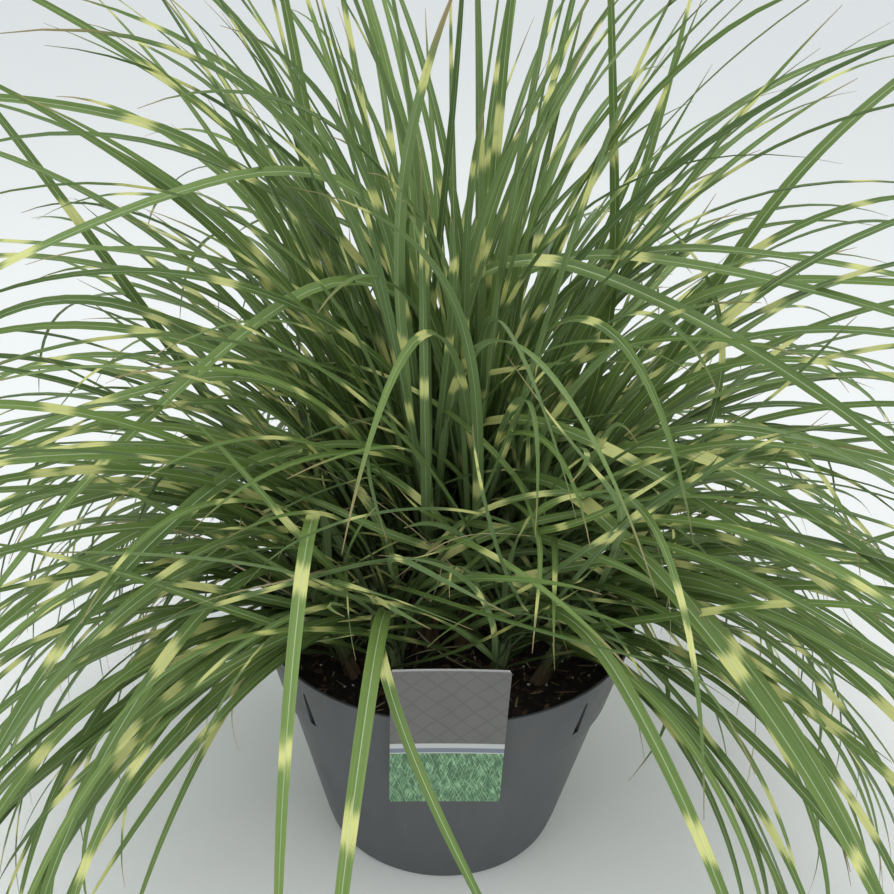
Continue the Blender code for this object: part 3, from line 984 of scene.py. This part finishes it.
class BladeBundle:
    """Collects a shoot's blades and turns them into one mesh."""

    def __init__(self):
        self.blades = []

    def add(self, line, length, width, bands=(), section=NARROW_SECTION, seed=0.5, dry=0.0, **shape):
        rings, across, share = blade_skin(line, length, width, section, **shape)
        places = (list(bands) + [-1.0, -1.0, -1.0])[:3]
        self.blades.append((rings, across, share, length, places, section, seed, dry))

    def weave(self, name, material):
        """One mesh of all the blades, each a closed tube with a cap at either end."""
        verts, faces, under, margins, places_on_map = [], [], [], [], []
        values = {"across": [], "along": [], "reach": [], "seed": [], "dry": []}
        bands = []
        start = 0
        for number, (rings, across, share, length, places, section, seed, dry) in enumerate(self.blades):
            rows, columns = rings.shape[:2]
            verts.append(rings.reshape(-1, 3))
            values["across"].append(np.tile(across, rows))
            values["reach"].append(np.repeat(share, columns))
            values["along"].append(np.repeat(share * length, columns))
            values["seed"].append(np.full(rows * columns, seed))
            values["dry"].append(np.full(rows * columns, dry))
            bands.append(np.tile(places, (rows * columns, 1)))
            places_across = np.tile(across, rows)
            margins.append(np.where(np.abs(places_across) == 1.0, np.sign(places_across), 0))
            low = start + np.arange(rows - 1)[:, None] * columns
            here = np.arange(columns)[None, :]
            after = (here + 1) % columns
            quads = np.stack([low + here, low + after, low + columns + after, low + columns + here], 2)
            faces += quads.reshape(-1, 4).tolist()
            faces.append(list(range(start + columns - 1, start - 1, -1)))
            faces.append(list(range(start + (rows - 1) * columns, start + rows * columns)))
            below = (np.arange(columns) >= len(section) // 2).astype(float)
            under += np.tile(below, rows - 1).tolist() + [0.0, 0.0]
            places_on_map.append(self.strip(number, rows, columns))
            start += rows * columns
        mesh = bpy.data.meshes.new(name)
        mesh.from_pydata(np.concatenate(verts), [], faces)
        for key, parts in values.items():
            layer = mesh.attributes.new(key, "FLOAT", "POINT")
            layer.data.foreach_set("value", np.concatenate(parts))
        layer = mesh.attributes.new("bands", "FLOAT_VECTOR", "POINT")
        layer.data.foreach_set("vector", np.concatenate(bands).ravel())
        mesh.attributes.new("under", "FLOAT", "FACE").data.foreach_set("value", under)
        mesh.shade_smooth()
        margin = np.concatenate(margins)
        ends = np.zeros(len(mesh.edges) * 2, int)
        mesh.edges.foreach_get("vertices", ends)
        ends = margin[ends.reshape(-1, 2)]
        sharp = (ends[:, 0] != 0) & (ends[:, 0] == ends[:, 1])
        mesh.attributes.new("sharp_edge", "BOOLEAN", "EDGE").data.foreach_set("value", sharp)
        flat = mesh.uv_layers.new(name="OFBake")
        flat.data.foreach_set("uv", np.concatenate(places_on_map).astype(np.float32).ravel())
        return stand(name, mesh, material)

    def strip(self, number, rows, columns):
        """A blade's place on the map: one upright strip, round the blade by along it."""
        left = number / len(self.blades)
        wide = 0.94 / len(self.blades)
        side = np.arange(columns)[None, :, None]
        row = np.arange(rows - 1)[:, None, None]
        across = side + np.array([0, 1, 1, 0])[None, None, :]
        along = row + np.array([0, 0, 1, 1])[None, None, :]
        u = left + wide * across / columns
        v = 0.02 + 0.96 * along / (rows - 1)
        u = np.broadcast_to(u, (rows - 1, columns, 4))
        v = np.broadcast_to(v, (rows - 1, columns, 4))
        quads = np.stack([u, v], 3).reshape(-1, 2)
        turn = np.arange(columns) / columns * math.tau
        dot = np.stack([np.cos(turn) * wide * 0.3 + left + wide / 2, np.sin(turn) * 0.006], 1)
        return np.concatenate([quads, dot + [0, 0.009], dot + [0, 0.991]])


POT_CLEARANCE = 0.004
RIM_ZONE = 0.014             # how far in from the rim a blade has to pass above it
CARD_ZONE = (0.037, -0.155, -0.108, 0.212)     # half width, nearest and farthest y, height
OUTLINE_SPARE = 0.016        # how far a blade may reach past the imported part's box
FLOOR_CLEARANCE = 0.010
EYE_CLEARANCE = 0.34


def clear_of_pot(line):
    """Whether a blade stays above the floor, off pot and label, and in the plant's outline."""
    points = line[0][len(line[0]) // 8:]
    x, y, height = points.T
    radius = np.hypot(x, y)
    near_pot = radius < RIM_RADIUS + POT_CLEARANCE
    at_rim = near_pot & (radius > RIM_RADIUS - RIM_ZONE)
    over_rim = at_rim & (height < POT_HEIGHT + POT_CLEARANCE)
    in_peat = near_pot & (height < COMPOST_TOP + POT_CLEARANCE)
    half_card, card_near, card_far, card_top = CARD_ZONE
    before_card = (y > card_near) & (y < card_far) & (height < card_top)
    at_card = before_card & (abs(x - CARD_SHIFT) < half_card)
    if (over_rim | in_peat | at_card).any():
        return False
    low = np.array(cad_low) - OUTLINE_SPARE
    high = np.array(cad_high) + OUTLINE_SPARE
    low[2] = FLOOR_CLEARANCE
    from_eye = np.linalg.norm(points - np.array(EYE), axis=1)
    inside = (points > low).all() and (points < high).all()
    return bool(inside and from_eye.min() > EYE_CLEARANCE)


FACE_HALF_WIDTH = 0.100
FACE_LOW = -0.030
FACE_HIGH = 0.190
AHEAD_OF = -0.070            # only what hangs further forward than this can hide the pot


def hides_pot_face(points):
    """Whether a blade hangs before the pot's face and label, for someone standing in front."""
    sight = points - np.array(EYE)
    reach = (-RIM_RADIUS - EYE.y) / np.maximum(sight[:, 1], 0.05)
    side = EYE.x + sight[:, 0] * reach
    height = EYE.z + sight[:, 2] * reach
    on_face = (abs(side) < FACE_HALF_WIDTH) & (height > FACE_LOW) & (height < FACE_HIGH)
    return bool((on_face & (points[:, 1] < AHEAD_OF)).any())


# How each layer's blades grow: count on a shoot, spread in azimuth, then ranges of lean at
# the foot, lean at the tip, how late they bend, length and width.
GROWTH = {
    "inner": (20, 180, (2, 26), (20, 135), (1.0, 1.9), (0.28, 0.44), (0.0042, 0.0080)),
    "middle": (18, 36, (6, 36), (88, 165), (0.75, 1.30), (0.28, 0.46), (0.0042, 0.0084)),
    "outer": (22, 24, (8, 46), (150, 192), (0.40, 0.80), (0.24, 0.40), (0.0034, 0.0076)),
    "front": (14, 18, (8, 40), (155, 190), (0.36, 0.62), (0.20, 0.34), (0.0034, 0.0074)),
    "crown": (13, 260, (0, 20), (8, 100), (1.1, 2.2), (0.32, 0.50), (0.0038, 0.0078)),
    "tangle": (15, 130, (4, 52), (40, 180), (0.45, 1.60), (0.12, 0.30), (0.0026, 0.0062)),
    "wisp": (2, 120, (10, 60), (60, 230), (0.50, 1.60), (0.10, 0.24), (0.0009, 0.0017)),
}


BLADE_ROWS = 28
WILDNESS = {"tangle": 3.0, "wisp": 6.0}         # how much more these bend and twist sideways
THINNED = 7                  # blades fewer on the outer shoots at the front right
TRIES = 14                   # places tried for each blade before a shoot is left thinner


def grow(bundle, shoot, rng, habit):
    """Fill a shoot with blades of one habit, which leave its stems at different heights."""
    count, spread, leans, tips, latenesses, lengths, widths = GROWTH[habit]
    foot, top = shoot_ends(shoot)
    azimuth = math.degrees(math.atan2(foot.y, foot.x))
    wild = WILDNESS.get(habit, 1.0)
    made = 0
    if habit == "outer" and foot.x > 0.04 and foot.y < 0.0:
        count -= THINNED
    for attempt in range(count * TRIES):
        if made == count:
            break
        share = rng.uniform(0.10, 1.0)
        aside = Vector((rng.uniform(-1, 1), rng.uniform(-1, 1), 0.0)) * 0.005
        start = foot.lerp(top, share) + aside
        turn = azimuth + rng.gauss(0.0, 0.62) * spread
        vigour = rng.random()
        lean = rng.uniform(*leans)
        tip_lean = rng.uniform(*tips)
        length = lengths[0] + (lengths[1] - lengths[0]) * vigour ** 0.8
        width = widths[0] + (widths[1] - widths[0]) * (0.55 * vigour + 0.45 * rng.random())
        lateness = rng.uniform(*latenesses)
        sweep = rng.gauss(0.0, 18.0) * wild
        sway = rng.gauss(0.0, 2.4) * wild
        twist = rng.gauss(0.0, 34.0) * wild
        fold = rng.uniform(0.10, 0.34)
        band_count = rng.choice((1, 1, 2, 2, 2, 3, 3))
        bands = [length * rng.uniform(0.25, 0.92) for number in range(band_count)]
        seed = rng.random()
        dry = 1.0 if habit == "wisp" else 0.0
        line = blade_line(
            start, turn, lean, tip_lean, lateness, length, sweep, sway, BLADE_ROWS
        )
        if not clear_of_pot(line) or hides_pot_face(line[0]):
            continue
        facing = rng.uniform(0.0, 0.55)
        bundle.add(
            line, length, width, bands, seed=seed, dry=dry, twist=twist, fold=fold, facing=facing
        )
        made += 1


# The blades that stand out, shoot by shoot, one row each: azimuth and how far it swings, rise
# before the blade turns over, its lean while it rises, once it has turned over and at its tip,
# its length, its width, and where its bands are. Degrees and millimetres.
STANDING_BLADES = {
    "inner_01": (
        (-35, 0, 115, -12, 95, 135, 560, 9.0, (220,)),
        (-50, 0, 15, 10, 105, 150, 460, 9.0, (130, 240, 340)),
    ),
    "inner_02": (
        (-12, 0, 105, -8, 90, 120, 590, 8.5, (240,)),
        (-5, 0, 120, 10, 90, 110, 500, 7.0, (330,)),
    ),
    "inner_05": (
        (205, 0, 170, 5, 100, 130, 560, 8.5, (400,)),
        (210, 0, 120, 0, 120, 145, 520, 8.5, (360,)),
        (-30, 0, 35, 0, 100, 135, 520, 8.5, (110, 180, 300)),
    ),
    "middle_01": (
        (-35, 0, 60, 15, 100, 140, 450, 8.0, (170,)),
        (-15, 0, 60, 20, 90, 120, 450, 7.0, (260, 330)),
    ),
    "middle_02": (
        (10, 0, 220, 28, 50, 60, 520, 8.5, (380,)),
        (0, 0, 100, 12, -6, -8, 430, 8.0, (250,)),
        (-5, 0, 120, 15, 85, 105, 460, 7.0, (310,)),
    ),
    "middle_03": ((20, 0, 180, 15, 60, 100, 520, 7.5, ()),),
    "middle_06": (
        (160, 0, 240, 12, 60, 100, 580, 6.0, ()),
        (165, 0, 300, 10, 18, 30, 440, 8.0, ()),
    ),
    "middle_07": (
        (185, 0, 180, 10, 75, 105, 500, 7.0, (300,)),
        (180, 0, 120, 15, 85, 95, 460, 6.5, (310,)),
    ),
    "middle_08": (
        (225, 0, 50, 10, 110, 165, 450, 8.5, (280,)),
        (205, 0, 80, 10, 95, 135, 450, 8.0, (240,)),
    ),
    "outer_01": (
        (-50, 0, 25, 20, 115, 160, 370, 7.5, (150,)),
        (-35, 0, 25, 25, 105, 150, 380, 7.0, (220,)),
    ),
    "outer_02": ((-20, 0, 30, 30, 100, 135, 390, 7.5, (170,)),),
    "outer_08": ((170, 0, 200, 35, 36, 42, 430, 8.0, (260,)),),
    "outer_09": (
        (195, 0, 30, 20, 100, 135, 390, 8.0, (240,)),
        (210, 0, 25, 20, 110, 150, 380, 8.0, (180,)),
    ),
    "outer_10": (
        (215, 0, 25, 20, 115, 165, 360, 7.5, (170,)),
        (235, 0, 20, 15, 115, 172, 370, 7.5, (160,)),
        (270, 0, 60, 10, 115, 178, 400, 7.5, (130, 180, 260)),
    ),
    "front_01": (
        (270, -10, 20, 30, 110, 176, 340, 8.5, (200, 250)),
        (260, 70, 20, 35, 105, 150, 310, 6.0, (120,)),
    ),
    "front_02": ((-60, 0, 10, 20, 115, 155, 350, 8.0, (210,)),),
}
TURN_OVER = 110.0            # length over which a blade turns over, in millimetres
FINE_STEPS = 240
SMOOTHING = 31               # fine steps over which its lean is evened out
LEAVES_STEM_AT = 0.8         # share of the stem's height


def standing_blade(start, azimuth, swing, rise, lean, over, tip_lean, length, steps=40):
    """Points, lean and azimuth of a blade that rises, turns over and then bends to its tip."""
    marks = (0.0, rise, rise + TURN_OVER, length)
    fine = np.linspace(0.0, length, FINE_STEPS + 1)
    tilt = np.interp(fine, marks, (lean, lean, over, tip_lean))
    padded = np.pad(tilt, SMOOTHING // 2, "edge")
    tilt = np.radians(np.convolve(padded, np.ones(SMOOTHING) / SMOOTHING, "valid"))
    turn = np.radians(azimuth + swing * np.clip((fine - rise) / (length - rise), 0.0, 1.0))
    forward = np.stack([np.sin(tilt) * np.cos(turn), np.sin(tilt) * np.sin(turn), np.cos(tilt)], 1)
    stride = (forward[1:] + forward[:-1]) / 2 * length / FINE_STEPS / 1000.0
    path = np.vstack([start, np.array(start) + np.cumsum(stride, axis=0)])
    pick = np.linspace(0.0, length, steps + 1)
    points = np.stack([np.interp(pick, fine, path[:, axis]) for axis in range(3)], 1)
    return points, np.interp(pick, fine, tilt), np.interp(pick, fine, turn)


leaf = blade_finish()
blade_rng = random.Random(2026)
for shoot in SHOOTS:
    layer = shoot.split("_")[0]
    foot, top = shoot_ends(shoot)
    bundle = BladeBundle()
    for *course, length, width, bands in STANDING_BLADES.get(shoot, ()):
        line = standing_blade(foot.lerp(top, LEAVES_STEM_AT), *course, length)
        bundle.add(
            line,
            length / 1000.0,
            width / 1000.0,
            [band / 1000.0 for band in bands],
            BROAD_SECTION,
            seed=blade_rng.random(),
            twist=blade_rng.gauss(0.0, 14.0),
            fold=blade_rng.uniform(0.14, 0.28),
            facing=blade_rng.uniform(0.45, 0.75),
        )
    habits = {"inner": (layer, "crown"), "front": (layer, "tangle")}.get(layer, (layer,))
    for habit in (*habits, "tangle", "wisp"):
        grow(bundle, shoot, blade_rng, habit)
    blades = bundle.weave("blades_" + shoot, leaf)
    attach(blades, "root")
    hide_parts("leaves_" + shoot)
